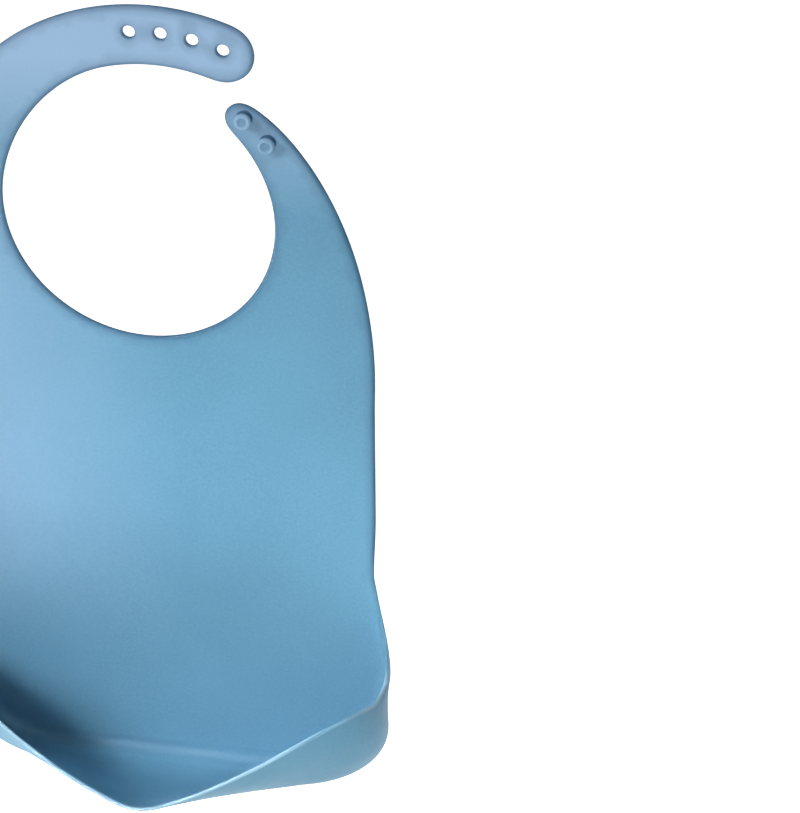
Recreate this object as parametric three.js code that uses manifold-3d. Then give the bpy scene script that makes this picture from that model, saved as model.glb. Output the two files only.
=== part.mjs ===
// Silicone baby bib with an open catch pocket and a two-strap neck fastening.
// Millimetres, +Z up. The bib stands upright as it hangs from the neck: the back of the flat
// panel is the plane y = 0, the front and the pocket face -Y, and the origin is the centre of
// the neck opening. The real bib is one moulding, so its solids are divided at its living hinges.
import * as THREE from 'three';
import { mergeVertices } from 'three/addons/utils/BufferGeometryUtils.js';
import Module from 'manifold-3d';

const wasm = await Module();
wasm.setup();

// Sheet
const SHEET = 2.2; // thickness of the moulded sheet
const LIP = 1.6; // thickness at the pocket's rim, where the wall thins out
const SEAM = 0.3; // clearance between solids that are one skin in the moulding
const HINGE_GAP = 2.4; // clearance across a living hinge

// Neck opening and straps, as x and z
const NECK = { cz: -4, rx: 48.2, rz: 49.8 }; // its round lower part
const SHOULDER_Z = 8; // both straps fold about this level
const HOLE_STRAP = { cx: 8, cz: -8, inner: 61.3, outer: 82.4, tipAngle: 69.2 };
const HOLE_STRAP_BEND_X = -6; // the strap end curls about this line
const STRAP_HOLES = { count: 4, diameter: 5.8, radius: 73, firstAngle: 69.6, pitchAngle: 8.33 };
const STUD_STRAP_TIP = { x: 38.2, z: 36.1, r: 5.9, innerAngle: 215, outerAngle: 60 };
const STUDS = { upper: [39.7, 36.9], lower: [47.3, 28.5] };
const STUD = { stem: 4, head: 6, neckLength: 2.3, headLength: 1.8, dimple: 1.4, dimpleDepth: 0.6 };

// Panel
const SIDE_X = 82.5; // half width of the straight sides
const STRAIGHT_Z = -75; // the shoulder curves run into the straight sides here
const FOLD_Z = -106; // the panel folds about this level
const WAIST_Z = -126; // the sides draw in slightly below here
const WAIST_X = 81.6; // half width where the sides start to turn forward
const FLARE_Z = -156; // level of that

// Pocket: the flat back ends at the seam line, the sheet rolls forward over the keel and the
// sides, and the front wall rises to the rim. Right half, from the centre to the side.
const KEEL_Z = -254; // lower edge of the flat back
const CORNER_R = 21.5; // corner of the flat back
const BACK_X = 79.2; // half width of the flat back beside the pocket
const RIM = [
	[0, -68, -226.5], [17, -66, -221], [46, -58.5, -206], [66, -49, -196], [79, -36, -196.5],
	[85.2, -23, -202], [86.9, -12, -202], [86.7, -7, -187], [84.2, -3.5, -172.5],
	[WAIST_X, -SHEET / 2, FLARE_Z],
];
const ROLL = 16.6; // reach of the rolled keel beyond the flat back
const SIDE_ROLL = 8.4; // the same at the sides
const BULGE = [5.5, 13.5, 2]; // how far the wall bows outward: at the centre, the corner and the side
const GUSSET_X = 56; // the wall swings between the two side gussets
const WALL_HINGE_Y = -14; // the front wall swings about the keel here
const RIM_SHARE = 0.93; // the lip starts at this share of the way up the front wall
const ACROSS = 40; // steps of the pocket's surface around the rim
const UP = 10; // steps of the pocket's surface from the seam line to the rim

const half = SEAM / 2;
const silicone = (color) => new THREE.MeshStandardMaterial({ color, roughness: 0.5, metalness: 0 });
const bib = new THREE.Group();

function add(name, geometry, color) {
	const mesh = new THREE.Mesh(geometry, silicone(color));
	mesh.name = name;
	bib.add(mesh);
	return mesh;
}

// ---- Flat outlines, drawn as x and z and extruded through the sheet ----

function plate(points, holes = []) {
	const shape = new THREE.Shape(points);
	for (const [x, z, r] of holes) {
		shape.holes.push(new THREE.Path().absarc(x, z, r, 0, 2 * Math.PI));
	}
	const options = { depth: SHEET, bevelEnabled: false, curveSegments: 16 };
	return new THREE.ExtrudeGeometry(shape, options).rotateX(Math.PI / 2);
}

// The stretch of a curve whose z falls from high to low, as points.
function span(curve, high, low, steps) {
	const at = (z) => {
		let [a, b] = [0, 1];
		for (let i = 0; i < 40; i++) {
			const m = (a + b) / 2;
			if (curve.getPoint(m).y > z) a = m;
			else b = m;
		}
		return a;
	};
	const [from, to] = [at(high), at(low)];
	return Array.from({ length: steps + 1 }, (_, i) => curve.getPoint(from + ((to - from) * i) / steps));
}

function arc(cx, cz, rx, rz, fromDeg, toDeg, steps) {
	const rad = THREE.MathUtils.degToRad;
	return Array.from({ length: steps + 1 }, (_, i) => {
		const a = rad(fromDeg + ((toDeg - fromDeg) * i) / steps);
		return new THREE.Vector2(cx + rx * Math.cos(a), cz + rz * Math.sin(a));
	});
}

const degrees = THREE.MathUtils.radToDeg;
const bezier = (...p) => new THREE.CubicBezierCurve(...p.map(([x, z]) => new THREE.Vector2(x, z)));
const rightSide = bezier([41.15, 41.21], [60.6, 29.8], [85.2, -12], [SIDE_X, STRAIGHT_Z]);
const leftTop = HOLE_STRAP.cx - Math.sqrt(HOLE_STRAP.outer ** 2 - (SHOULDER_Z - HOLE_STRAP.cz) ** 2);
const leftSide = bezier([leftTop, SHOULDER_Z], [-77, -12], [-SIDE_X, -42], [-SIDE_X, STRAIGHT_Z]);
const neckAngle = (z) => degrees(Math.asin((z - NECK.cz) / NECK.rz));
const neckX = (z) => NECK.rx * Math.sqrt(1 - ((z - NECK.cz) / NECK.rz) ** 2);

function chestPanel() {
	const top = SHOULDER_Z - HINGE_GAP / 2;
	const low = FOLD_Z + HINGE_GAP / 2;
	return plate([
		new THREE.Vector2(-SIDE_X, low),
		...span(leftSide, top, STRAIGHT_Z, 12).reverse(),
		...arc(0, NECK.cz, NECK.rx, NECK.rz, 180 - neckAngle(top), 360 + neckAngle(top), 44),
		...span(rightSide, top, STRAIGHT_Z, 14),
		new THREE.Vector2(SIDE_X, low),
	]);
}

// Angle about the hole strap's own centre of the point at x on the arc of radius r.
const strapAngle = (x, r) => degrees(Math.acos((x - HOLE_STRAP.cx) / r));

function holeStrap() {
	const low = SHOULDER_Z + HINGE_GAP / 2;
	const endX = HOLE_STRAP_BEND_X - HINGE_GAP / 2;
	const lowAngle = 180 - degrees(Math.asin((low - HOLE_STRAP.cz) / HOLE_STRAP.outer));
	const { cx, cz, inner, outer } = HOLE_STRAP;
	const innerEndZ = cz + Math.sqrt(inner ** 2 - (endX - cx) ** 2);
	const innerEdge = bezier([-neckX(low), low], [-41, 29.8], [-24.8, 46.9], [endX, innerEndZ]);
	return plate([
		...innerEdge.getPoints(18),
		...arc(cx, cz, outer, outer, strapAngle(endX, outer), lowAngle, 20),
	]);
}

function holeStrapEnd() {
	const startX = HOLE_STRAP_BEND_X + HINGE_GAP / 2;
	const { cx, cz, inner, outer, tipAngle } = HOLE_STRAP;
	const mid = (inner + outer) / 2;
	const width = (outer - inner) / 2;
	const rad = THREE.MathUtils.degToRad;
	const { count, diameter, radius, firstAngle, pitchAngle } = STRAP_HOLES;
	const holes = Array.from({ length: count }, (_, i) => {
		const a = rad(firstAngle + i * pitchAngle);
		return [cx + radius * Math.cos(a), cz + radius * Math.sin(a), diameter / 2];
	});
	const tipX = cx + mid * Math.cos(rad(tipAngle));
	const tipZ = cz + mid * Math.sin(rad(tipAngle));
	return plate([
		...arc(cx, cz, inner, inner, strapAngle(startX, inner), tipAngle, 12),
		...arc(tipX, tipZ, width, width, tipAngle - 180, tipAngle, 16).slice(1, -1),
		...arc(cx, cz, outer, outer, tipAngle, strapAngle(startX, outer), 12),
	], holes);
}

function studStrap() {
	const low = SHOULDER_Z + HINGE_GAP / 2;
	const { x, z, r, innerAngle, outerAngle } = STUD_STRAP_TIP;
	const tip = arc(x, z, r, r, innerAngle, outerAngle, 14);
	const innerEdge = bezier([neckX(low), low], [42.4, 23.7], [36, 29], [tip[0].x, tip[0].y]);
	return plate([
		...innerEdge.getPoints(10),
		...tip.slice(1),
		...span(rightSide, tip.at(-1).y, low, 12).slice(1),
	]);
}

// A mushroom stud on the front face: neck, round head and a dimple in its crown.
function stud([x, z]) {
	const { stem, head, neckLength, headLength, dimple, dimpleDepth } = STUD;
	const crown = neckLength + headLength;
	const profile = [
		[0, 0], [stem / 2, 0], [stem / 2, neckLength], [head / 2 - 0.4, neckLength],
		[head / 2, neckLength + 0.5], [head / 2, crown - 0.9], [head / 2 - 0.8, crown],
		[dimple, crown], [dimple * 0.7, crown - dimpleDepth], [0, crown - dimpleDepth],
	];
	const points = profile.map(([radius, height]) => new THREE.Vector2(radius, height));
	return new THREE.LatheGeometry(points, 24).rotateX(Math.PI).translate(x, -SHEET - half, z);
}

// ---- Pocket: a curved sheet between four curves, thickened along its normals ----

// The flat back's outline from the keel's centre, s = 0, to the start of the flare, s = 1.
function backEdge(s) {
	const cornerX = BACK_X - CORNER_R;
	const cornerZ = KEEL_Z + CORNER_R;
	const quarter = (CORNER_R * Math.PI) / 2;
	const total = cornerX + quarter + (FLARE_Z - cornerZ);
	const along = s * total;
	if (along < cornerX) return { p: [along, KEEL_Z], n: [0, -1] };
	if (along < cornerX + quarter) {
		const a = (along - cornerX) / CORNER_R;
		const n = [Math.sin(a), -Math.cos(a)];
		return { p: [cornerX + CORNER_R * n[0], cornerZ + CORNER_R * n[1]], n };
	}
	return { p: [BACK_X, cornerZ + along - cornerX - quarter], n: [1, 0] };
}

const rimCurve = new THREE.CatmullRomCurve3(
	[...RIM.slice(1).map(([x, y, z]) => [-x, y, z]).reverse(), ...RIM]
		.map((p) => new THREE.Vector3(...p)),
	false, 'centripetal',
);
const smooth = THREE.MathUtils.smoothstep;

// Middle of the sheet at u, from -1 at the left side to 1 at the right, and v, from seam to rim.
function pocketPoint(u, v) {
	const side = Math.sign(u) || 1;
	const s = Math.abs(u);
	const edge = backEdge(s);
	const taper = 1 - smooth(s, 0.72, 1);
	const roll = THREE.MathUtils.lerp(ROLL, SIDE_ROLL, smooth(s, 0.3, 0.62)) * taper + 0.8 * (1 - taper);
	const normal = new THREE.Vector3(side * edge.n[0], 0, edge.n[1]);
	const seam = new THREE.Vector3(side * edge.p[0], -SHEET / 2, edge.p[1]).addScaledVector(normal, SEAM);
	const fold = seam.clone().addScaledVector(normal, roll);
	const rim = rimCurve.getPointAt((u + 1) / 2);
	const bow = THREE.MathUtils.lerp(BULGE[0], BULGE[1], smooth(s, 0, 0.3));
	const bulge = THREE.MathUtils.lerp(bow, BULGE[2], smooth(s, 0.45, 0.7)) * taper;
	const lift = fold.clone().lerp(rim, 0.52).addScaledVector(normal, bulge);
	return new THREE.CubicBezierCurve3(seam, fold, lift, rim).getPoint(v);
}

function pocketNormal(u, v) {
	const e = 1e-3;
	const du = pocketPoint(Math.min(1, u + e), v).sub(pocketPoint(Math.max(-1, u - e), v));
	const dv = pocketPoint(u, Math.min(1, v + e)).sub(pocketPoint(u, Math.max(0, v - e)));
	return du.cross(dv).normalize();
}

// A closed shell of the given thickness over the sheet from v = low to v = high.
function pocketShell(low, high, thickness, steps) {
	const rows = steps + 1;
	const columns = 2 * ACROSS + 1;
	const position = [];
	for (const face of [-1, 1]) {
		for (let i = 0; i < columns; i++) {
			for (let j = 0; j < rows; j++) {
				const u = (i - ACROSS) / ACROSS;
				const v = low + ((high - low) * j) / steps;
				const p = pocketPoint(u, v).addScaledVector(pocketNormal(u, v), (face * thickness) / 2);
				position.push(p.x, p.y, p.z);
			}
		}
	}
	const index = [];
	const at = (face, i, j) => face * columns * rows + i * rows + j;
	const quad = (a, b, c, d) => index.push(a, b, c, a, c, d);
	for (let i = 0; i < columns - 1; i++) {
		for (let j = 0; j < steps; j++) {
			quad(at(1, i, j), at(1, i + 1, j), at(1, i + 1, j + 1), at(1, i, j + 1));
			quad(at(0, i, j), at(0, i, j + 1), at(0, i + 1, j + 1), at(0, i + 1, j));
		}
		quad(at(0, i, 0), at(0, i + 1, 0), at(1, i + 1, 0), at(1, i, 0));
		quad(at(0, i, steps), at(1, i, steps), at(1, i + 1, steps), at(0, i + 1, steps));
	}
	for (let j = 0; j < steps; j++) {
		quad(at(0, 0, j), at(1, 0, j), at(1, 0, j + 1), at(0, 0, j + 1));
		const last = columns - 1;
		quad(at(0, last, j), at(0, last, j + 1), at(1, last, j + 1), at(1, last, j));
	}
	const geometry = new THREE.BufferGeometry();
	geometry.setAttribute('position', new THREE.Float32BufferAttribute(position, 3));
	geometry.setIndex(index);
	return geometry;
}

function solid(geometry) {
	const bare = geometry.clone();
	bare.deleteAttribute('normal');
	bare.deleteAttribute('uv');
	const merged = mergeVertices(bare, 1e-5);
	return new wasm.Manifold(new wasm.Mesh({
		numProp: 3,
		vertProperties: new Float32Array(merged.attributes.position.array),
		triVerts: new Uint32Array(merged.index.array),
	}));
}

function geometryOf(body) {
	const mesh = body.getMesh();
	const geometry = new THREE.BufferGeometry();
	geometry.setAttribute('position', new THREE.BufferAttribute(mesh.vertProperties, 3));
	geometry.setIndex(new THREE.BufferAttribute(mesh.triVerts, 1));
	geometry.computeVertexNormals();
	return geometry;
}

// The part of a solid inside a box given by its x and y ranges.
function keep(body, [x0, x1], [y0, y1]) {
	const height = 400;
	const box = new THREE.BoxGeometry(x1 - x0, y1 - y0, height);
	box.translate((x0 + x1) / 2, (y0 + y1) / 2, KEEL_Z);
	return body.intersect(solid(box));
}

function lowerPanel() {
	const steps = 60;
	const right = Array.from({ length: steps + 1 }, (_, i) => {
		const [x, z] = backEdge(1 - i / steps).p;
		return new THREE.Vector2(x, z);
	});
	const left = right.slice(0, -1).reverse().map((p) => new THREE.Vector2(-p.x, p.y));
	const top = FOLD_Z - HINGE_GAP / 2;
	const shoulder = FLARE_Z + SEAM;
	const lift = (WAIST_Z - FLARE_Z) / 3;
	const waist = bezier(
		[SIDE_X, WAIST_Z], [SIDE_X, WAIST_Z - lift], [WAIST_X, shoulder + lift], [WAIST_X, shoulder],
	);
	const rightWaist = waist.getPoints(8);
	const leftWaist = rightWaist.map((p) => new THREE.Vector2(-p.x, p.y)).reverse();
	return plate([
		new THREE.Vector2(SIDE_X, top), ...rightWaist, new THREE.Vector2(BACK_X, shoulder),
		...right, ...left,
		new THREE.Vector2(-BACK_X, shoulder), ...leftWaist, new THREE.Vector2(-SIDE_X, top),
	].reverse());
}

// ---- Assembly ----

const blue = 0x6fa3c9;
const paleBlue = 0x8fb6dd;
const deepBlue = 0x4c80b5;
const FAR = 200; // beyond the object's width and depth
const wallX = [-GUSSET_X + half, GUSSET_X - half];
const sheetBody = solid(pocketShell(0, 1, SHEET, UP));
const wallBody = solid(pocketShell(0, RIM_SHARE - 0.005, SHEET, UP));
const rimBody = solid(pocketShell(RIM_SHARE + 0.005, 1, LIP, 2));

add('chest_panel', chestPanel(), blue);
add('lower_panel', lowerPanel(), blue);
add('pocket_floor', geometryOf(keep(wallBody, wallX, [WALL_HINGE_Y + HINGE_GAP / 2, FAR])), deepBlue);
add('pocket_wall', geometryOf(keep(wallBody, wallX, [-FAR, WALL_HINGE_Y - HINGE_GAP / 2])), blue);
add('pocket_rim', geometryOf(keep(rimBody, wallX, [-FAR, FAR])), paleBlue);
add('left_gusset', geometryOf(keep(sheetBody, [-FAR, -GUSSET_X - half], [-FAR, FAR])), blue);
add('right_gusset', geometryOf(keep(sheetBody, [GUSSET_X + half, FAR], [-FAR, FAR])), blue);
add('hole_strap', holeStrap(), paleBlue);
add('hole_strap_end', holeStrapEnd(), paleBlue);
add('stud_strap', studStrap(), blue);
add('upper_stud', stud(STUDS.upper), paleBlue);
add('lower_stud', stud(STUDS.lower), paleBlue);

export default bib;
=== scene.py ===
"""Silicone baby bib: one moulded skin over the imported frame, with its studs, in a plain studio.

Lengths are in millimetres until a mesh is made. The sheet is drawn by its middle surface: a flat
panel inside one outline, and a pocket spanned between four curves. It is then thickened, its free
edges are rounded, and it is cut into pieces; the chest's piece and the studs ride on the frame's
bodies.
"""

import math

import bpy
import numpy as np
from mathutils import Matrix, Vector, noise
from mathutils.geometry import delaunay_2d_cdt


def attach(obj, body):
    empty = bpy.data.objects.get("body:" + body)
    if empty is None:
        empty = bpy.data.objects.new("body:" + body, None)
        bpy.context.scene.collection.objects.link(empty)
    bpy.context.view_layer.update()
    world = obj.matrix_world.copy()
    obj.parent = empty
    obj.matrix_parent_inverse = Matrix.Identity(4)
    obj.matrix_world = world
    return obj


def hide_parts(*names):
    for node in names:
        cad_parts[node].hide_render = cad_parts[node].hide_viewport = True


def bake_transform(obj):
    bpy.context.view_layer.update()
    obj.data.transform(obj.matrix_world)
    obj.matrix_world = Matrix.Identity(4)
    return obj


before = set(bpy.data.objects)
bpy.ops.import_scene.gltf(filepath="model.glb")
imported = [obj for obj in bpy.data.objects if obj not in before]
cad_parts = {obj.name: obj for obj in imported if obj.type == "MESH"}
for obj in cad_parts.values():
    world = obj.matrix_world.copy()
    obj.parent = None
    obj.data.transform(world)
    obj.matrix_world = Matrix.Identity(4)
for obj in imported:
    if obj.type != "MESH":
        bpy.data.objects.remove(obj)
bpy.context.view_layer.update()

MM = 0.001

# ---- Driving dimensions, as in the frame ----
SHEET = 2.2  # thickness of the sheet
SIDE_X = 82.5  # half width of the straight sides
STRAIGHT_Z = -75.0  # the shoulder curves run into the straight sides here
FOLD_Z = -106.0  # the panel folds about this level
WAIST_Z = -126.0  # the sides draw in slightly below here
WAIST_X = 81.6  # half width where the sides start to turn forward
FLARE_Z = -156.0  # level of that
SHOULDER_Z = 8.0  # both straps fold about this level
BEND_X = -6.0  # the strap end curls about this line
HALF_GAP = 1.2  # half of what the frame leaves open at a fold
NECK_CENTRE = (0.0, -4.0)
NECK_RX = 48.2
NECK_RZ = 49.8
STRAP_CENTRE = (8.0, -8.0)
STRAP_INNER = 61.3
STRAP_OUTER = 82.4
STRAP_TIP_ANGLE = 69.2
HOLE_COUNT = 4
HOLE_MOUTH = 2.9  # radius at both faces
HOLE_WAIST = 2.05  # radius half way through
HOLE_PATH = 73.0  # radius of the arc that the holes lie on
HOLE_FIRST_ANGLE = 69.6
HOLE_PITCH_ANGLE = 8.33
STUD_TIP = (38.2, 36.1)  # centre of the round end of the stud strap
STUD_TIP_R = 5.9
STUD_TIP_ANGLES = (60, 215)
STUDS = {"upper_stud": (39.7, 36.9), "lower_stud": (47.3, 28.5)}

# Pocket
KEEL_Z = -254.0  # lower edge of the flat back
CORNER_R = 21.5  # corner of the flat back
BACK_X = 79.2  # half width of the flat back beside the pocket
RIM = [
    (0, -68, -226.5), (17, -66, -221), (46, -58.5, -206), (66, -49, -196), (79, -36, -196.5),
    (85.2, -23, -202), (86.9, -12, -202), (86.7, -7, -187), (84.2, -3.5, -172.5),
    (WAIST_X, -SHEET / 2, FLARE_Z),
]
ROLL = 16.6  # reach of the rolled keel beyond the flat back
SIDE_ROLL = 8.4  # the same at the sides
FLARE_ROLL = 0.8  # and at the flares
BULGE = (5.5, 13.5, 2.0)  # how far the wall bows outward: at the centre, the corner and the side
LIFT_SHARE = 0.52  # the wall's bow is set this far up from the roll to the rim
# Where these change, as shares of the way round the pocket from the keel's centre to a flare
SIDE_ROLL_AT = (0.3, 0.62)
CORNER_BOW_AT = (0, 0.3)
SIDE_BOW_AT = (0.45, 0.7)
FLARE_AT = (0.72, 1)

# Where the skin is divided into pieces, as the ends of straight cuts, and a point of each piece
FOLD_REACH = 20.0  # from the fold's level to the cuts above and below it
SHOULDER_CUT_Z = -8.0
STRAP_CUT_X = -20.0
CUTS = [
    ((-SIDE_X, FOLD_Z - FOLD_REACH), (SIDE_X, FOLD_Z - FOLD_REACH)),
    ((-SIDE_X, FOLD_Z + FOLD_REACH), (SIDE_X, FOLD_Z + FOLD_REACH)),
    ((-77, SHOULDER_CUT_Z), (-NECK_RX, SHOULDER_CUT_Z)),
    ((NECK_RX, SHOULDER_CUT_Z), (74, SHOULDER_CUT_Z)),
    ((STRAP_CUT_X, 47), (STRAP_CUT_X, 70)),
]
PIECES = {
    "chest_sheet": (0, -70),
    "middle_sheet": (0, FOLD_Z),
    "pocket_sheet": (0, -140),
    "hole_strap_sheet": (-66, 16),
    "hole_strap_end_sheet": (-8, 64),
    "stud_strap_sheet": (54, 12),
}

# Skin
EDGE_ROUND = 1.8  # how far the rounded edge reaches in from the outline
EDGE_STEPS = 8  # facets from one face round the edge to the other
EDGE_STEP = 1.5  # spacing of points along the outline
EDGE_SMOOTHING = 4  # times that the outline's points are averaged with their neighbours
GRID_STEP = 3.0  # spacing of points over the flat panel
GRID_CLEARANCE = 0.55  # share of a step that the grid keeps from the border, holes and cuts
CUT_STEP = 0.8  # spacing of points along a cut, as a share of a grid step
HOLE_STEPS = 40  # points round a hole's mouth
POCKET_COLUMNS = 150
POCKET_ROWS = 34
RIM_THINNING = 0.35  # what each face loses at the pocket's rim
RIM_THINNING_WIDTH = 14.0
RIM_THINNING_FADE_Z = -186.0  # it fades out from here up to the flares
WAVE_LENGTH = 85.0  # scale of the sheet's slow waviness
WAVE_HEIGHT = 0.75
RIPPLE_RATE = 2.7  # the quick waviness is this many times finer
RIPPLE_HEIGHT = 0.2


def smoothstep(a, b, x):
    """0 up to a, 1 from b on, and a smooth rise between."""
    t = np.clip((np.asarray(x, float) - a) / (b - a), 0, 1)
    return t * t * (3 - 2 * t)


# ---- Curves in the panel's plane, as arrays of (x, z) ----

def line(a, b, steps=40):
    t = np.linspace(0, 1, steps + 1)[:, None]
    return np.array(a) * (1 - t) + np.array(b) * t


def bezier(a, b, c, d, steps=60):
    t = np.linspace(0, 1, steps + 1)[:, None]
    a, b, c, d = map(np.array, (a, b, c, d))
    return (1 - t) ** 3 * a + 3 * (1 - t) ** 2 * t * b + 3 * (1 - t) * t * t * c + t ** 3 * d


def arc(centre, rx, rz, start, stop, steps=60):
    a = np.radians(np.linspace(start, stop, steps + 1))
    return np.stack([centre[0] + rx * np.cos(a), centre[1] + rz * np.sin(a)], 1)


def neck_x(z):
    return NECK_RX * math.sqrt(1 - ((z - NECK_CENTRE[1]) / NECK_RZ) ** 2)


def neck_angle(z):
    return math.degrees(math.asin((z - NECK_CENTRE[1]) / NECK_RZ))


def strap_angle(x, radius):
    return math.degrees(math.acos((x - STRAP_CENTRE[0]) / radius))


def on_strap(radius, angle):
    a = math.radians(angle)
    return (STRAP_CENTRE[0] + radius * math.cos(a), STRAP_CENTRE[1] + radius * math.sin(a))


def resample(points, step):
    """Points at an even spacing near step along a polyline, its two ends kept."""
    length = np.r_[0, np.cumsum(np.linalg.norm(np.diff(points, axis=0), axis=1))]
    count = max(2, int(round(length[-1] / step)))
    at = np.linspace(0, length[-1], count + 1)
    return np.stack([np.interp(at, length, points[:, k]) for k in range(points.shape[1])], 1)


def free_outline():
    """The free edge of the flat sheet, from the top of the right flare, over the straps and the
    neck, to the top of the left flare."""
    neck_top = SHOULDER_Z + HALF_GAP
    neck_edge = neck_x(neck_top)
    neck_end = neck_angle(neck_top)
    inner_start = strap_angle(BEND_X - HALF_GAP, STRAP_INNER)
    left_angle = 180 - math.degrees(math.asin((SHOULDER_Z - STRAP_CENTRE[1]) / STRAP_OUTER))
    strap_middle = (STRAP_INNER + STRAP_OUTER) / 2
    strap_half = (STRAP_OUTER - STRAP_INNER) / 2
    strap_tip = on_strap(strap_middle, STRAP_TIP_ANGLE)
    stud_tip = arc(STUD_TIP, STUD_TIP_R, STUD_TIP_R, *STUD_TIP_ANGLES)
    lift = (WAIST_Z - FLARE_Z) / 3
    waist = bezier((WAIST_X, FLARE_Z), (WAIST_X, FLARE_Z + lift),
                   (SIDE_X, WAIST_Z - lift), (SIDE_X, WAIST_Z))
    parts = [
        waist,
        line((SIDE_X, WAIST_Z), (SIDE_X, STRAIGHT_Z)),
        bezier((SIDE_X, STRAIGHT_Z), (85.2, -12), (60.6, 29.8), stud_tip[0]),
        stud_tip,
        bezier(stud_tip[-1], (36, 29), (42.4, 23.7), (neck_edge, neck_top)),
        arc(NECK_CENTRE, NECK_RX, NECK_RZ, neck_end, -180 - neck_end, 120),
        bezier((-neck_edge, neck_top), (-41, 29.8), (-24.8, 46.9),
               on_strap(STRAP_INNER, inner_start)),
        arc(STRAP_CENTRE, STRAP_INNER, STRAP_INNER, inner_start, STRAP_TIP_ANGLE),
        arc(strap_tip, strap_half, strap_half, STRAP_TIP_ANGLE - 180, STRAP_TIP_ANGLE),
        arc(STRAP_CENTRE, STRAP_OUTER, STRAP_OUTER, STRAP_TIP_ANGLE, left_angle, 120),
        bezier(on_strap(STRAP_OUTER, left_angle), (-77, -12),
               (-SIDE_X, -42), (-SIDE_X, STRAIGHT_Z)),
        line((-SIDE_X, STRAIGHT_Z), (-SIDE_X, WAIST_Z)),
        waist[::-1] * (-1, 1),
    ]
    points = np.concatenate([parts[0]] + [p[1:] for p in parts[1:]])
    points = resample(points, EDGE_STEP)
    for _ in range(EDGE_SMOOTHING):
        points[1:-1] = points[1:-1] / 2 + (points[:-2] + points[2:]) / 4
    return points


def inset(points, distance):
    """The polyline moved to its left, which is inside the sheet."""
    tangent = np.gradient(points, axis=0)
    tangent /= np.linalg.norm(tangent, axis=1)[:, None]
    return points + distance * np.stack([-tangent[:, 1], tangent[:, 0]], 1)


# ---- The pocket's middle surface ----

def back_edge(s):
    """Points and outward directions of the flat back's outline, from the keel's centre, s = 0,
    to the top of the flare, s = 1."""
    corner_x = BACK_X - CORNER_R
    corner_z = KEEL_Z + CORNER_R
    quarter = CORNER_R * math.pi / 2
    along = s * (corner_x + quarter + FLARE_Z - corner_z)
    angle = np.clip((along - corner_x) / CORNER_R, 0, math.pi / 2)
    normal = np.stack([np.sin(angle), -np.cos(angle)], -1)
    x = np.where(along < corner_x, along, corner_x + CORNER_R * normal[..., 0])
    z = corner_z + CORNER_R * normal[..., 1] + np.maximum(0, along - corner_x - quarter)
    return np.stack([x, z], -1), normal


def catmull_rom(points, span_steps=30, step=0.8):
    """A centripetal Catmull-Rom curve through the points, at an even spacing."""
    p = np.array(points, float)
    p = np.concatenate([[2 * p[0] - p[1]], p, [2 * p[-1] - p[-2]]])
    out = []
    for i in range(1, len(p) - 2):
        q = p[i - 1:i + 3]
        knot = np.r_[0, np.cumsum(np.linalg.norm(np.diff(q, axis=0), axis=1) ** 0.5)]
        t = np.linspace(knot[1], knot[2], span_steps, endpoint=False)[:, None]

        def mix(a, b, ta, tb):
            return (tb - t) / (tb - ta) * a + (t - ta) / (tb - ta) * b

        a1, a2, a3 = (mix(q[k], q[k + 1], knot[k], knot[k + 1]) for k in range(3))
        b1, b2 = mix(a1, a2, knot[0], knot[2]), mix(a2, a3, knot[1], knot[3])
        out.append(mix(b1, b2, knot[1], knot[2]))
    return resample(np.concatenate(out + [p[-2:-1]]), step)


def pocket_surface(u, v):
    """Middle of the sheet at u, from -1 at the left flare to 1 at the right one, and v, from 0 at
    the flat back to 1 at the rim. u is an array of columns and v an array (columns, rows)."""
    mirrored = [(-x, y, z) for x, y, z in RIM[:0:-1]]
    rim_curve = catmull_rom(mirrored + RIM)
    share = np.linspace(-1, 1, len(rim_curve))
    rim = np.stack([np.interp(u, share, rim_curve[:, k]) for k in range(3)], 1)
    s = np.abs(u)
    side = np.where(u < 0, -1.0, 1.0)
    edge, direction = back_edge(s)
    taper = 1 - smoothstep(*FLARE_AT, s)
    roll = ROLL + (SIDE_ROLL - ROLL) * smoothstep(*SIDE_ROLL_AT, s)
    roll = roll * taper + FLARE_ROLL * (1 - taper)
    bow = BULGE[0] + (BULGE[1] - BULGE[0]) * smoothstep(*CORNER_BOW_AT, s)
    bow = (bow + (BULGE[2] - bow) * smoothstep(*SIDE_BOW_AT, s)) * taper
    flat = np.full_like(u, -SHEET / 2)
    normal = np.stack([side * direction[:, 0], 0 * u, direction[:, 1]], 1)
    seam = np.stack([side * edge[:, 0], flat, edge[:, 1]], 1)
    fold = seam + normal * roll[:, None]
    lift = fold + (rim - fold) * LIFT_SHARE + normal * bow[:, None]
    w = v[..., None]
    seam, fold, lift, rim = (q[:, None, :] for q in (seam, fold, lift, rim))
    return ((1 - w) ** 3 * seam + 3 * (1 - w) ** 2 * w * fold
            + 3 * (1 - w) * w * w * lift + w ** 3 * rim)


def pocket_grid():
    """Points of the pocket's sheet, (columns, rows, 3), its rim held back by the rounded edge."""
    u = np.linspace(-1, 1, POCKET_COLUMNS + 1)
    fine = np.linspace(0, 1, 60)
    curve = pocket_surface(u, np.repeat(fine[None], len(u), 0))
    length = np.cumsum(np.linalg.norm(np.diff(curve, axis=1), axis=2), axis=1)
    length = np.concatenate([np.zeros((len(u), 1)), length], 1)
    rows = np.linspace(0, 1, POCKET_ROWS + 1)
    v = np.stack([np.interp(rows * (row[-1] - EDGE_ROUND), row, fine) for row in length])
    return pocket_surface(u, v)


# ---- The middle surface as one mesh ----

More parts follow.
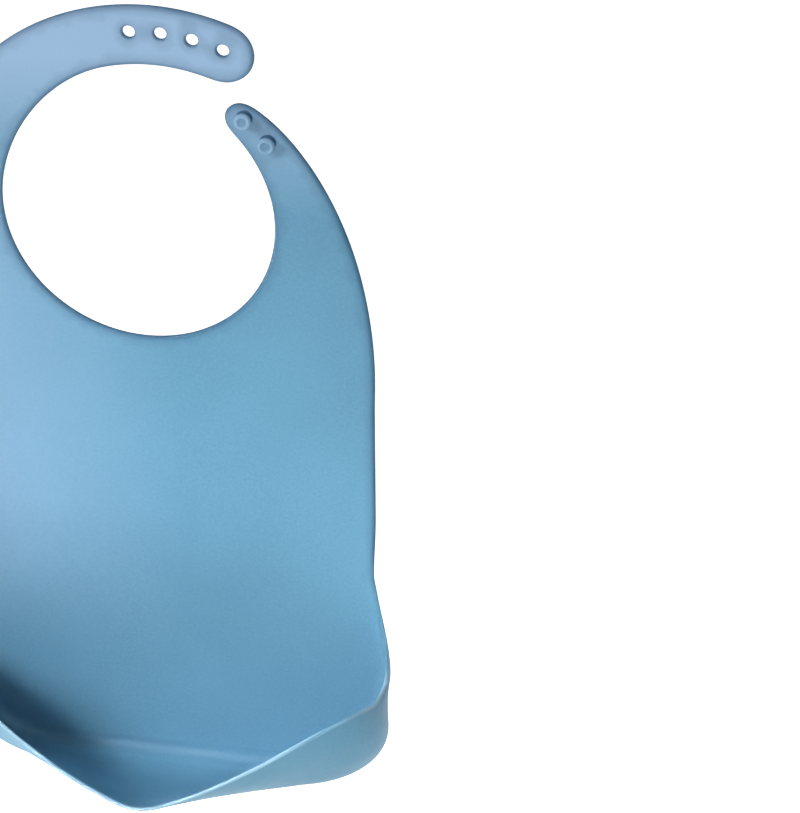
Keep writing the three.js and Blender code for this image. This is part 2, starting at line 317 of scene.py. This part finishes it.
class Middle:
    """Vertices and faces of the middle surface, with equal points merged."""

    def __init__(self):
        self.points = []
        self.faces = []
        self.found = {}

    def vertex(self, p):
        key = tuple(round(float(c), 3) for c in p)
        if key not in self.found:
            self.found[key] = len(self.points)
            self.points.append([float(c) for c in p])
        return self.found[key]

    def face(self, corners):
        loop = [self.vertex(p) for p in corners]
        loop = [a for a, b in zip(loop, loop[1:] + loop[:1]) if a != b]
        if len(loop) > 2:
            self.faces.append(loop)


def inside(points, polygon):
    """Whether each point is inside a closed polygon."""
    x, z = points[:, 0], points[:, 1]
    result = np.zeros(len(points), bool)
    for (x0, z0), (x1, z1) in zip(polygon, np.roll(polygon, -1, 0)):
        crosses = (z0 > z) != (z1 > z)
        if z0 != z1:
            result ^= crosses & (x < (x1 - x0) * (z - z0) / (z1 - z0) + x0)
    return result


def distance_to(points, loop):
    """Distance of each point to the nearest point of a closed loop."""
    best = np.full(len(points), np.inf)
    for q in loop:
        best = np.minimum(best, np.hypot(points[:, 0] - q[0], points[:, 1] - q[1]))
    return best


def hole_centres():
    angles = [HOLE_FIRST_ANGLE + i * HOLE_PITCH_ANGLE for i in range(HOLE_COUNT)]
    return [on_strap(HOLE_PATH, angle) for angle in angles]


def hole_loops():
    return [arc(c, HOLE_MOUTH, HOLE_MOUTH, 0, 360, HOLE_STEPS)[:-1] for c in hole_centres()]


def cut_line(border, start, end):
    """Indices of the border points nearest start and end, and the points of the cut between."""
    ends = [int(np.argmin(np.hypot(*(border - p).T))) for p in (start, end)]
    a, b = border[ends[0]], border[ends[1]]
    return ends, resample(np.stack([a, b]), GRID_STEP * CUT_STEP)[1:-1]


def panel_loops(grid):
    """The closed loops of the flat panel: its border, which follows the free outline and then the
    line where the pocket starts, and the mouths of the holes."""
    outline = inset(free_outline(), EDGE_ROUND)[1:-1]
    right, left = grid[-1][:, [0, 2]], grid[0][:, [0, 2]]
    back = grid[1:-1, 0][:, [0, 2]]
    return [np.concatenate([outline, left[::-1], back, right])] + hole_loops()


def in_panel(points, loops):
    """Whether each point is inside the border and outside every hole."""
    result = inside(points, loops[0])
    for loop in loops[1:]:
        result &= ~inside(points, loop)
    return result


def panel_field(loops, cuts):
    """A square grid of points over the panel, clear of its loops and cuts."""
    xs = np.arange(-SIDE_X, SIDE_X, GRID_STEP)
    zs = np.arange(KEEL_Z, STRAP_OUTER, GRID_STEP)
    field = np.stack(np.meshgrid(xs + GRID_STEP / 2, zs), -1).reshape(-1, 2)
    keep = in_panel(field, loops)
    for loop in loops + [inner for _, inner in cuts]:
        keep &= distance_to(field, loop) > GRID_STEP * GRID_CLEARANCE
    return field[keep]


def panel_mesh(loops, cuts):
    """Points and triangles of the flat panel, and the chain of points along each cut."""
    points, edges = [], []
    for loop in loops:
        first = len(points)
        points += [Vector(p) for p in loop]
        edges += [(first + k, first + (k + 1) % len(loop)) for k in range(len(loop))]
    chains = []
    for (a, b), inner in cuts:
        chain = [a] + [len(points) + k for k in range(len(inner))] + [b]
        points += [Vector(p) for p in inner]
        edges += list(zip(chain, chain[1:]))
        chains.append([points[k] for k in chain])
    points += [Vector(p) for p in panel_field(loops, cuts)]
    flat, _, triangles, *_ = delaunay_2d_cdt(points, edges, [], 0, 1e-5)
    flat = np.array([tuple(p) for p in flat])
    centres = np.array([flat[list(t)].mean(0) for t in triangles])
    return flat, [t for t, ok in zip(triangles, in_panel(centres, loops)) if ok], chains


def middle_surface():
    """Points, faces and cut edges of the middle surface. Its faces look to the front."""
    middle = Middle()
    grid = pocket_grid()
    for i in range(POCKET_COLUMNS):
        for j in range(POCKET_ROWS):
            middle.face([grid[i, j], grid[i, j + 1], grid[i + 1, j + 1], grid[i + 1, j]])
    loops = panel_loops(grid)
    flat, triangles, chains = panel_mesh(loops, [cut_line(loops[0], *ends) for ends in CUTS])
    for t in triangles:
        middle.face([(flat[k][0], -SHEET / 2, flat[k][1]) for k in t])
    barrier = set()
    for chain in chains:
        ids = [middle.vertex((p.x, -SHEET / 2, p.y)) for p in chain]
        barrier |= {frozenset(pair) for pair in zip(ids, ids[1:])}
    return np.array(middle.points), middle.faces, barrier


# ---- Thickening and dividing ----

def ripple(p):
    """The slight waviness of a soft sheet at rest, in millimetres."""
    q = Vector(p) / WAVE_LENGTH
    slow = noise.noise(q + Vector((3.1, 0.4, 7.7)))
    quick = noise.noise(q * RIPPLE_RATE + Vector((9.2, 5.5, 1.3)))
    return WAVE_HEIGHT * slow + RIPPLE_HEIGHT * quick


def vertex_normals(points, faces):
    mesh = bpy.data.meshes.new("normals")
    mesh.from_pydata([tuple(p) for p in points], [], faces)
    normals = np.zeros(len(points) * 3, np.float32)
    mesh.vertex_normals.foreach_get("vector", normals)
    bpy.data.meshes.remove(mesh)
    return normals.reshape(-1, 3).astype(float)


def regions(faces, barrier, points):
    """The name of the piece that each face of the middle surface belongs to."""
    by_edge = {}
    for i, f in enumerate(faces):
        for pair in zip(f, f[1:] + f[:1]):
            by_edge.setdefault(frozenset(pair), []).append(i)
    centres = np.array([points[f].mean(0) for f in faces])
    flat = np.abs(centres[:, 1] + SHEET / 2) < 0.01
    names = [None] * len(faces)
    for name, (x, z) in PIECES.items():
        away = np.where(flat, np.hypot(centres[:, 0] - x, centres[:, 2] - z), np.inf)
        todo = [int(np.argmin(away))]
        names[todo[0]] = name
        while todo:
            f = faces[todo.pop()]
            for pair in map(frozenset, zip(f, f[1:] + f[:1])):
                for other in by_edge[pair]:
                    if pair not in barrier and names[other] is None:
                        names[other] = name
                        todo.append(other)
    return names


class Skin:
    """The whole thick sheet: front and back points, and the rounded strip along each free edge."""

    def __init__(self):
        points, faces, barrier = middle_surface()
        self.names = regions(faces, barrier, points)
        self.faces = faces
        self.barrier = barrier
        normals = vertex_normals(points, faces)
        points = points + normals * np.array([ripple(p) for p in points])[:, None]
        normals = vertex_normals(points, faces)
        directed = {pair for f in faces for pair in zip(f, f[1:] + f[:1])}
        self.free = {a: b for a, b in directed if (b, a) not in directed}
        before = {b: a for a, b in self.free.items()}
        self.half = SHEET / 2 - self.thinning(points)
        offset = normals * self.half[:, None]
        count = len(points)
        self.count = count
        self.points = list(points + offset) + list(points - offset)
        self.strip = {}
        for a in self.free:
            tangent = points[self.free[a]] - points[before[a]]
            outward = np.cross(tangent, normals[a])
            outward /= np.linalg.norm(outward)
            reach = self.reach(points[a])
            ring = [a]
            for k in range(1, EDGE_STEPS):
                angle = math.pi * k / EDGE_STEPS
                ring.append(len(self.points))
                self.points.append(points[a] + outward * reach * math.sin(angle)
                                   + normals[a] * self.half[a] * math.cos(angle))
            self.strip[a] = ring + [a + count]
        self.points = np.array(self.points)
        whole = [f for i in range(len(faces)) for f in self.sides(i)]
        self.normals = vertex_normals(self.points, whole)

    def thinning(self, points):
        """What each face loses towards the pocket's rim."""
        rim = points[sorted(self.free)]
        rim = rim[rim[:, 2] < FLARE_Z - 1]
        less = np.zeros(len(points))
        for i, p in enumerate(points):
            if p[2] < FLARE_Z:
                near = math.sqrt(((rim - p) ** 2).sum(1).min())
                fade = 1 - smoothstep(RIM_THINNING_FADE_Z, FLARE_Z, p[2])
                less[i] = RIM_THINNING * fade * (1 - smoothstep(0, RIM_THINNING_WIDTH, near))
        return less

    def reach(self, p):
        """How far the rounded edge reaches out from a point of the free edge."""
        nearest = min(math.hypot(p[0] - x, p[2] - z) for x, z in hole_centres())
        at_hole = nearest < HOLE_MOUTH + 0.5
        return HOLE_MOUTH - HOLE_WAIST if at_hole else EDGE_ROUND

    def sides(self, i):
        """The front and back of middle face i, and the rounded strips on its free edges."""
        f = self.faces[i]
        yield f
        yield [k + self.count for k in reversed(f)]
        for a, b in zip(f, f[1:] + f[:1]):
            if self.free.get(a) == b:
                p, q = self.strip[a], self.strip[b]
                for k in range(EDGE_STEPS):
                    yield [q[k], p[k], p[k + 1], q[k + 1]]

    def caps(self, i):
        """The closing faces where middle face i meets a cut."""
        f = self.faces[i]
        for a, b in zip(f, f[1:] + f[:1]):
            if frozenset((a, b)) in self.barrier:
                yield [b, a, a + self.count, b + self.count]
                if a in self.strip:
                    yield self.strip[a]
                if b in self.strip:
                    yield self.strip[b][::-1]

    def piece(self, name):
        """The skin's faces of a named piece, and the faces that close it at its cuts."""
        faces, capped = [], []
        for i, owner in enumerate(self.names):
            if owner == name:
                faces += list(self.sides(i))
                capped += list(self.caps(i))
        return faces, capped


# ---- Meshes ----

def make_object(name, points, faces, normals, capped, edge):
    """An object from millimetres. The last capped faces are flat; the others take the given
    normals. It carries its place at rest and, for the material, its painted edge light: shade
    along the edges and a highlight at the pocket's rim."""
    used = sorted({k for f in faces for k in f})
    index = {k: i for i, k in enumerate(used)}
    mesh = bpy.data.meshes.new(name)
    co = points[used] * MM
    mesh.from_pydata([tuple(p) for p in co], [], [[index[k] for k in f] for f in faces])
    smooth = np.ones(len(faces), bool)
    smooth[len(faces) - capped:] = False
    mesh.polygons.foreach_set("use_smooth", smooth)
    rest = mesh.attributes.new("rest", "FLOAT_VECTOR", "POINT")
    rest.data.foreach_set("vector", co.ravel())
    # the edge value: painted shade along the free edges, and a painted highlight at the pocket's
    # rim where it is negative
    tint = mesh.attributes.new("edge", "FLOAT", "POINT")
    tint.data.foreach_set("value", edge[used])
    split = []
    for polygon, f, is_smooth in zip(mesh.polygons, faces, smooth):
        flat = polygon.normal
        split += [tuple(normals[k]) if is_smooth else tuple(flat) for k in f]
    mesh.normals_split_custom_set(split)
    obj = bpy.data.objects.new(name, mesh)
    bpy.context.scene.collection.objects.link(obj)
    return obj


OUTLINE_FADE = 12.0  # the outline's painted shade fades over this much above and below the flares' tops
RIM_HIGHLIGHT_FADE_Z = (-206.0, -192.0)  # and the lip's painted highlight fades upward between these levels
FACE_TINT = 0.3  # the painted shade on a face right beside the edge, and at the rim the painted highlight
FACE_TINT_REACH = 1.3


def painted_edge_light(skin):
    """For each point of the skin, its painted light: 1, painted shade, at the flat sheet's free
    edge and -1, a painted highlight, at the pocket's rim, both falling to 0 a little way in."""
    free = sorted(skin.free)
    rim = skin.points[free]
    level = smoothstep(FLARE_Z - OUTLINE_FADE, FLARE_Z + OUTLINE_FADE, rim[:, 2])
    level -= 1 - smoothstep(*RIM_HIGHLIGHT_FADE_Z, rim[:, 2])
    near = np.zeros(len(skin.points))
    for start in (0, skin.count):
        p = skin.points[start:start + skin.count]
        away = np.full(len(p), np.inf)
        share = np.zeros(len(p))
        for q, k in zip(rim, level):
            d = ((p - q) ** 2).sum(1)
            share = np.where(d < away, k, share)
            away = np.minimum(away, d)
        fade = 1 - smoothstep(0, FACE_TINT_REACH, np.sqrt(away))
        near[start:start + skin.count] = FACE_TINT * share * fade
    for a, k in zip(free, level):
        for step in range(1, EDGE_STEPS):
            outward = math.sin(math.pi * step / EDGE_STEPS)
            near[skin.strip[a][step]] = k * (FACE_TINT + (1 - FACE_TINT) * outward)
    return near


STUD_PROFILE = [  # radius and height above the strap's face
    (3.0, -0.25), (2.75, 0.02), (2.45, 0.14), (2.2, 0.4), (2.05, 0.9), (2.0, 1.5), (2.05, 2.0),
    (2.3, 2.16), (2.6, 2.22), (2.78, 2.36), (2.85, 2.6), (2.85, 3.1), (2.82, 3.55),
    (2.68, 3.87), (2.42, 4.05), (2.1, 4.1), (1.82, 4.02), (1.6, 3.82), (1.42, 3.62),
    (1.1, 3.5), (0.55, 3.46),
]
STUD_SIDES = 64
# painted shade under the stud's head and in its dimple
STUD_NECK_SHADE = 1.2
STUD_NECK_FADE = (1.9, 2.6)  # heights
STUD_DIMPLE_SHADE = 0.4
STUD_DIMPLE_FADE = (1.2, 1.8)  # radii
STUD_DIMPLE_HEIGHT = 3  # the dimple is above this, and the foot and neck below


def stud(name, x, z, front_y):
    """A mushroom stud: a foot that flares into the strap, a neck, and a head with a raised ring
    round a dimple. Its foot, its neck and the dimple get painted shade, like the edges."""
    heights = [h for _, h in STUD_PROFILE]
    points = [(x, front_y - h, z) for h in (heights[0], heights[-1] - 0.01)]
    for r, h in STUD_PROFILE:
        for k in range(STUD_SIDES):
            a = 2 * math.pi * k / STUD_SIDES
            points.append((x + r * math.cos(a), front_y - h, z + r * math.sin(a)))
    last = len(STUD_PROFILE) - 1

    def at(ring, k):
        return 2 + ring * STUD_SIDES + k % STUD_SIDES

    faces = []
    for k in range(STUD_SIDES):
        for ring in range(last):
            faces.append([at(ring, k), at(ring, k + 1), at(ring + 1, k + 1), at(ring + 1, k)])
        faces.append([1, at(last, k), at(last, k + 1)])
        faces.append([0, at(0, k + 1), at(0, k)])
    points = np.array(points)
    normals = vertex_normals(points, faces)
    height = front_y - points[:, 1]
    out = np.hypot(points[:, 0] - x, points[:, 2] - z)
    # painted shade: dark at the foot and neck under the head's overhang, and in the dimple
    neck = 1 - smoothstep(*STUD_NECK_FADE, height)
    dimple = (height > STUD_DIMPLE_HEIGHT) * (1 - smoothstep(*STUD_DIMPLE_FADE, out))
    tint = STUD_NECK_SHADE * neck + STUD_DIMPLE_SHADE * dimple
    return make_object(name, points, faces, normals, 0, tint)


# ---- Material ----

def colour(hex_code):
    """A linear colour from an sRGB one."""
    parts = [int(hex_code[i:i + 2], 16) / 255 for i in (0, 2, 4)]
    linear = [c / 12.92 if c <= 0.04045 else ((c + 0.055) / 1.055) ** 2.4 for c in parts]
    return (*linear, 1.0)


WHITE = (1.0, 1.0, 1.0, 1.0)
DEEP = colour("5a8ba6")
PALE = colour("5e91ac")
# a painted sheen, standing in for a softbox's broad reflection on the straps and the upper left
PAINTED_SHEEN = colour("bccff0")
DUST = colour("a9c4da")
# painted shade for the free edges, the crease over the keel and the studs' feet, necks and dimples
PAINTED_SHADE = colour("2f5878")
# a painted highlight for the pocket's rim
RIM_HIGHLIGHT = colour("b4d2e4")

# Where the silicone's colour changes, in metres at rest, and the share of the other colour there:
# a painted sheen up the straps and at the upper left, and painted shade in the crease
STRAP_SHEEN_Z = (0.0, 0.055)
LEFT_SHEEN_X = (0.01, -0.06)
LEFT_SHEEN_Z = (-0.21, -0.13)
LEFT_SHEEN = 0.46  # of the straps' painted sheen
PAINTED_SHEEN_SHARE = 0.48
DUST_SHARE = 0.10
# painted shade in the crease over the keel
CREASE_Z = (-0.253, -0.258)
CREASE_Y = (-0.009, -0.004)
CREASE_SHADE_SHARE = 0.45
EDGE_SHADE_SHARE = (0.7, 0.95)  # painted shade at the edges; it varies along the edge
RIM_HIGHLIGHT_SHARE = 0.6
ROUGHNESS = (0.40, 0.52)  # it varies in patches


def node(tree, kind, inputs=(), **settings):
    n = tree.nodes.new(kind)
    for key, value in settings.items():
        setattr(n, key, value)
    for key, value in dict(inputs).items():
        if isinstance(value, bpy.types.NodeSocket):
            tree.links.new(value, n.inputs[key])
        else:
            n.inputs[key].default_value = value
    return n


def noise_at(tree, place, scale, detail=2.0, roughness=0.5):
    return node(tree, "ShaderNodeTexNoise", {
        "Vector": place, "Scale": scale, "Detail": detail, "Roughness": roughness}).outputs["Fac"]


def remap(tree, value, low, high, to_low, to_high):
    return node(tree, "ShaderNodeMapRange", {
        "Value": value, "From Min": low, "From Max": high, "To Min": to_low, "To Max": to_high,
    }).outputs["Result"]


def product(tree, a, b):
    return node(tree, "ShaderNodeMath", {0: a, 1: b}, operation="MULTIPLY").outputs[0]


def mix_colour(tree, share, a, b):
    """a and b mixed. The Mix node's sockets for colours are 6, 7 and, at the output, 2."""
    n = tree.nodes.new("ShaderNodeMix")
    n.data_type = "RGBA"
    for key, value in ((0, share), (6, a), (7, b)):
        if isinstance(value, bpy.types.NodeSocket):
            tree.links.new(value, n.inputs[key])
        else:
            n.inputs[key].default_value = value
    return n.outputs[2]


def silicone_colour(tree, place):
    """Dusty blue with soft mottling: paler towards the straps and the upper left by a painted
    sheen, lighter at the pocket's rim by a painted highlight, and darker at the other edges and in
    the crease over the keel by painted shade."""
    axes = node(tree, "ShaderNodeSeparateXYZ", {0: place}).outputs
    cloud = remap(tree, noise_at(tree, place, 16), 0.35, 0.65, 0.0, 1.0)
    body = mix_colour(tree, cloud, DEEP, PALE)

    # painted sheen: paler up the straps and towards the upper left, where a softbox's reflection
    # would fall
    strap = remap(tree, axes["Z"], *STRAP_SHEEN_Z, 0.0, 1.0)
    left = product(tree, remap(tree, axes["X"], *LEFT_SHEEN_X, 0.0, LEFT_SHEEN),
                   remap(tree, axes["Z"], *LEFT_SHEEN_Z, 0.0, 1.0))
    sheen_mask = node(tree, "ShaderNodeMath", {0: strap, 1: left}, operation="MAXIMUM").outputs[0]
    body = mix_colour(tree, remap(tree, sheen_mask, 0.0, 1.0, 0.0, PAINTED_SHEEN_SHARE), body, PAINTED_SHEEN)

    speck = remap(tree, noise_at(tree, place, 900, 3.0, 0.6), 0.3, 0.7, 0.0, 1.0)
    body = mix_colour(tree, remap(tree, speck, 0.0, 1.0, 0.0, DUST_SHARE), body, DUST)

    # painted shade in the crease over the keel, where shade falls in the fold
    crease = product(tree, remap(tree, axes["Z"], *CREASE_Z, 0.0, CREASE_SHADE_SHARE),
                     remap(tree, axes["Y"], *CREASE_Y, 0.0, 1.0))
    body = mix_colour(tree, crease, body, PAINTED_SHADE)

    # painted shade along the free edges, where the rounded edges turn away from the light
    edge = node(tree, "ShaderNodeAttribute", attribute_name="edge").outputs["Fac"]
    uneven = remap(tree, noise_at(tree, place, 70, 4.0, 0.6), 0.3, 0.7, *EDGE_SHADE_SHARE)
    body = mix_colour(tree, product(tree, edge, uneven), body, PAINTED_SHADE)
    # a painted highlight on the pocket's rim, where the edge value is negative
    return mix_colour(tree, remap(tree, edge, 0.0, -1.0, 0.0, RIM_HIGHLIGHT_SHARE), body, RIM_HIGHLIGHT)


def silicone():
    """Satin silicone with a fine moulded grain."""
    mat = bpy.data.materials.new("satin_silicone")
    mat.use_nodes = True
    tree = mat.node_tree
    shader = tree.nodes["Principled BSDF"]
    place = node(tree, "ShaderNodeAttribute", attribute_name="rest").outputs["Vector"]
    tree.links.new(silicone_colour(tree, place), shader.inputs["Base Color"])

    patch = noise_at(tree, place, 40, 3.0)
    tree.links.new(remap(tree, patch, 0.3, 0.7, *ROUGHNESS), shader.inputs["Roughness"])
    shader.inputs["IOR"].default_value = 1.41
    shader.inputs["Specular IOR Level"].default_value = 0.32

    grain = node(tree, "ShaderNodeBump", {
        "Height": noise_at(tree, place, 2400), "Strength": 0.25, "Distance": 0.00004})
    skin = node(tree, "ShaderNodeBump", {
        "Height": noise_at(tree, place, 160), "Strength": 0.3, "Distance": 0.0003,
        "Normal": grain.outputs["Normal"]})
    tree.links.new(skin.outputs["Normal"], shader.inputs["Normal"])
    return mat


# ---- The bib ----

skin = Skin()
# painted shade along the edges and a painted highlight on the pocket's rim, for the material
nearness = painted_edge_light(skin)
material = silicone()


def sheet_piece(name, *replaced):
    faces, capped = skin.piece(name)
    obj = make_object(name, skin.points, faces + capped, skin.normals, len(capped), nearness)
    obj.data.materials.append(material)
    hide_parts(*replaced)
    return obj


def metres(*p):
    return tuple(c * MM for c in p)


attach(sheet_piece("chest_sheet", "chest_panel"), "chest")
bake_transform(sheet_piece("middle_sheet", "lower_panel"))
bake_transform(sheet_piece("pocket_sheet", "pocket_floor", "pocket_wall", "pocket_rim",
                     "left_gusset", "right_gusset"))
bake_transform(sheet_piece("hole_strap_sheet", "hole_strap"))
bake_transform(sheet_piece("hole_strap_end_sheet", "hole_strap_end"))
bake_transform(sheet_piece("stud_strap_sheet", "stud_strap"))
for node_name, (x, z) in STUDS.items():
    front = skin.points[:skin.count]
    nearest = front[np.argmin(np.hypot(front[:, 0] - x, front[:, 2] - z))]
    piece = stud(node_name + "_moulding", x, z, float(nearest[1]))
    piece.data.materials.append(material)
    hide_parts(node_name)
    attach(piece, "stud_strap")


# ---- Studio ----

def look_at(obj, target):
    obj.rotation_euler = (Vector(target) - obj.location).to_track_quat("-Z", "Y").to_euler()


def softbox(name, location, target, size, power, tint, spread=180):
    """A round lamp: places and size in metres, power in watts, spread in degrees."""
    light = bpy.data.lights.new(name, "AREA")
    light.shape = "DISK"
    light.size = size
    light.spread = math.radians(spread)
    light.energy = power
    light.color = tint
    obj = bpy.data.objects.new(name, light)
    obj.location = location
    look_at(obj, target)
    bpy.context.scene.collection.objects.link(obj)


FLOOR_SIZE = 30.0
FLOOR_Z = -0.75
FLOOR_GLOW = 0.9
FLOOR_GLOW_Y = (-0.05, 0.35)  # the glow grows between these


def floor():
    """A pale floor that glows behind the bib, so that its far part is white."""
    mesh = bpy.data.meshes.new("floor")
    size = FLOOR_SIZE
    corners = [(-size, -size), (size, -size), (size, size), (-size, size)]
    mesh.from_pydata([(x, y, FLOOR_Z) for x, y in corners], [], [(0, 1, 2, 3)])
    obj = bpy.data.objects.new("floor", mesh)
    bpy.context.scene.collection.objects.link(obj)
    mat = bpy.data.materials.new("pale_floor")
    mat.use_nodes = True
    tree = mat.node_tree
    shader = tree.nodes["Principled BSDF"]
    place = node(tree, "ShaderNodeTexCoord").outputs["Object"]
    tone = mix_colour(tree, noise_at(tree, place, 3.0), colour("f6f7f8"), colour("fafafa"))
    tree.links.new(tone, shader.inputs["Base Color"])
    shader.inputs["Roughness"].default_value = 0.9
    shader.inputs["Emission Color"].default_value = WHITE
    behind = node(tree, "ShaderNodeSeparateXYZ", {0: place}).outputs["Y"]
    glow = remap(tree, behind, *FLOOR_GLOW_Y, 0.0, FLOOR_GLOW)
    tree.links.new(glow, shader.inputs["Emission Strength"])
    mesh.materials.append(mat)


floor()
softbox("key", (-0.75, -0.90, 0.66), (0.0, 0, -0.10), 0.45, 7.8, (1.0, 0.985, 0.985))
softbox("pocket", (-0.40, -0.80, 0.72), (0.06, -0.03, -0.245), 0.25, 0.20, (0.96, 0.98, 1.0), 15)
softbox("side", (-0.90, -0.12, -0.45), (-0.08, -0.03, -0.22), 0.4, 0.8, (1.0, 1.0, 1.0), 60)
softbox("top", (-0.10, -0.42, 0.90), (0.0, -0.03, -0.23), 0.5, 1.4, (0.95, 0.99, 1.0))
softbox("low", (0.20, -0.36, -0.62), (0.04, -0.05, -0.26), 0.35, 0.17, (0.68, 0.98, 1.0), 40)
softbox("fill", (0.30, -1.20, 0.45), (0.02, 0, -0.12), 0.9, 4.0, (0.94, 0.98, 1.0))

WORLD_STRENGTH = 0.3
world = bpy.data.worlds.new("studio")
world.use_nodes = True
background = world.node_tree.nodes["Background"]
background.inputs["Color"].default_value = WHITE
background.inputs["Strength"].default_value = WORLD_STRENGTH
bpy.context.scene.world = world
bpy.context.scene.view_settings.view_transform = "Standard"

VIEW_SIDE = math.radians(9)  # the camera looks this far to the left of straight back
VIEW_DROP = math.radians(35)  # and this far down
CAMERA_PLACE = (185.2, -592.0, 344.0)
SENSOR = 36
LENS = 89.8893
camera_data = bpy.data.cameras.new("camera")
camera_data.sensor_width = SENSOR
camera_data.lens = LENS
camera_data.clip_start = 0.01
camera = bpy.data.objects.new("camera", camera_data)
camera.location = metres(*CAMERA_PLACE)
toward = Vector((-math.sin(VIEW_SIDE) * math.cos(VIEW_DROP),
                 math.cos(VIEW_SIDE) * math.cos(VIEW_DROP), -math.sin(VIEW_DROP)))
camera.rotation_euler = toward.to_track_quat("-Z", "Y").to_euler()
bpy.context.scene.collection.objects.link(camera)
bpy.context.scene.camera = camera
